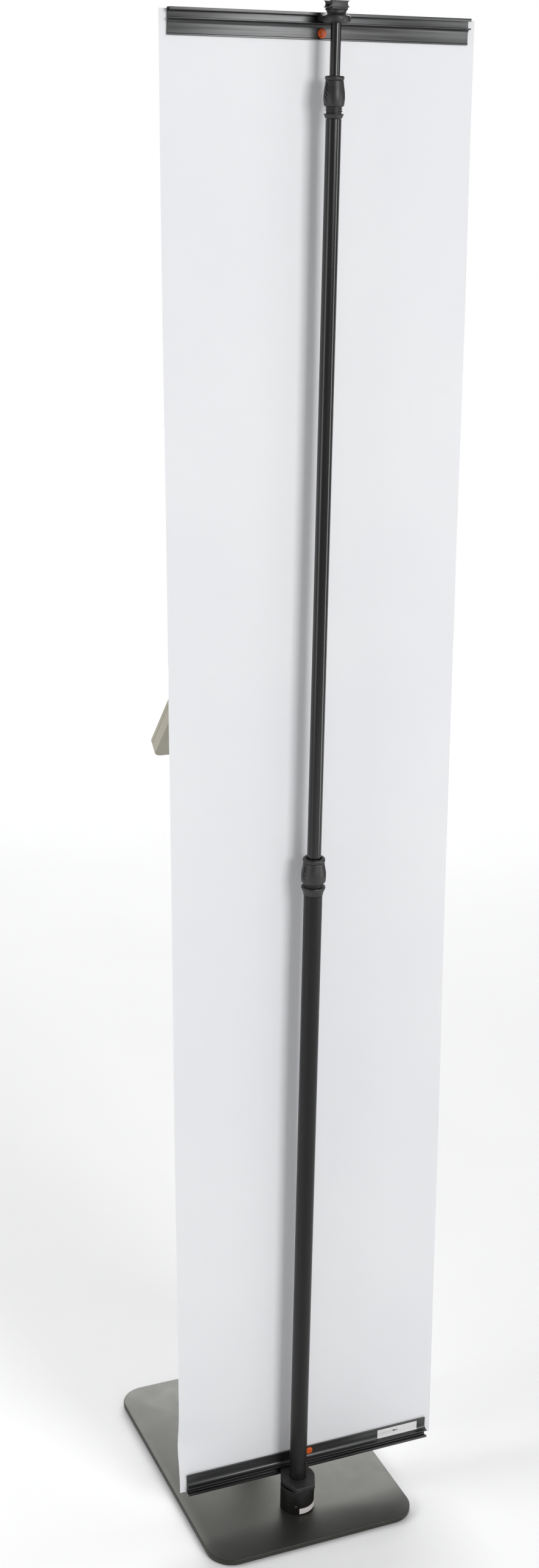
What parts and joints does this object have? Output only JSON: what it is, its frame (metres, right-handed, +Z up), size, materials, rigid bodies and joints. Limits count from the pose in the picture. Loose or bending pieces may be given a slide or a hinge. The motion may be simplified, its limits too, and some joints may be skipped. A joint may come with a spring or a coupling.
{
  "type": "banner stand with tablet enclosure",
  "caption": "Narrow printed banner hooked to a telescopic twist-lock pole on a flat weighted plate, with a post in front that carries a tilting tablet enclosure.",
  "frame": {"origin": "on the floor, at the middle of the whole footprint", "axes": "+Z up; -Y is the way the banner's printed face looks; +X is to the right of someone facing the printed face"},
  "size_m": [0.441, 0.44, 2.0896],
  "materials": {
    "powder_coat": "satin black powder coat, fine texture",
    "black_tube": "smooth satin black enamel",
    "black_plastic": "moulded, semi-matt",
    "anodised_rail": "black anodised, drawn along its length",
    "banner_sheet": "smooth white sheet, matt back",
    "orange_plastic": "moulded, semi-gloss",
    "label_paper": "matt",
    "tape": "film",
    "rubber": "matt",
    "steel": "zinc plated",
    "enclosure_paint": "light beige satin enamel",
    "foam": "closed-cell foam"
  },
  "bodies": {
    "stand": {"base_plate": "powder_coat", "foot_pad_1": "rubber", "foot_pad_2": "rubber", "foot_pad_3": "rubber", "foot_pad_4": "rubber", "pole_socket": "black_tube", "socket_bolt": "steel", "socket_set_screw": "steel", "socket_label": "label_paper", "lower_tube": "black_tube", "bottom_clip": "black_plastic", "lower_lock_collet": "black_plastic", "lower_lock_jaws": "black_plastic", "bottom_rail": "anodised_rail", "bottom_rail_dot": "orange_plastic", "bottom_rail_tape": "tape", "bottom_rail_label": "label_paper", "banner": "banner_sheet", "post_flange": "powder_coat", "flange_bolt_1": "steel", "flange_bolt_2": "steel", "flange_bolt_3": "steel", "post_tube": "powder_coat", "tilt_yoke": "powder_coat", "tilt_pin": "steel"},
    "middle_pole": {"middle_tube": "black_tube", "middle_tube_plug": "black_plastic", "upper_lock_collet": "black_plastic", "upper_lock_jaws": "black_plastic"},
    "top_pole": {"top_tube": "black_tube", "top_tube_plug": "black_plastic", "top_clip": "black_plastic", "top_clip_pin": "steel", "top_rail": "anodised_rail", "top_rail_dot": "orange_plastic", "top_rail_tape": "tape"},
    "lower_nut": {"lower_lock_nut": "black_plastic"},
    "upper_nut": {"upper_lock_nut": "black_plastic"},
    "enclosure": {"enclosure_tray": "enclosure_paint", "enclosure_frame": "enclosure_paint", "tablet_pad_1": "foam", "tablet_pad_2": "foam", "tablet_pad_3": "foam", "tablet_pad_4": "foam", "tilt_block": "powder_coat", "block_screw_1": "steel", "block_screw_2": "steel"},
    "knob": {"tilt_knob": "black_plastic"},
    "cam": {"cam_barrel": "steel", "cam_latch": "steel"}
  },
  "joints": [
    {"name": "middle_tube_slide", "type": "slide", "parent": "stand", "child": "middle_pole", "axis": [0, 0, 1], "range_m": [-0.88, 0], "deforming": ["banner"]},
    {"name": "top_tube_slide", "type": "slide", "parent": "middle_pole", "child": "top_pole", "axis": [0, 0, 1], "range_m": [-0.055, 0]},
    {"name": "lower_lock_twist", "type": "hinge", "parent": "stand", "child": "lower_nut", "pos_m": [0.0135, 0.138, 1.012], "axis": [0, 0, 1], "range_deg": [0, 180]},
    {"name": "upper_lock_twist", "type": "hinge", "parent": "middle_pole", "child": "upper_nut", "pos_m": [0.0135, 0.138, 1.985], "axis": [0, 0, 1], "range_deg": [0, 180]},
    {"name": "enclosure_tilt", "type": "hinge", "parent": "stand", "child": "enclosure", "pos_m": [0.0135, -0.044, 1.171], "axis": [1, 0, 0], "range_deg": [-30, 30]},
    {"name": "tilt_knob_turn", "type": "hinge", "parent": "stand", "child": "knob", "pos_m": [0.0135, -0.044, 1.171], "axis": [-1, 0, 0], "range_deg": [0, 360]},
    {"name": "cam_turn", "type": "hinge", "parent": "enclosure", "child": "cam", "pos_m": [-0.0565, -0.11284, 1.11995], "axis": [0, -0.7431, 0.6691], "range_deg": [0, 90]}
  ]
}
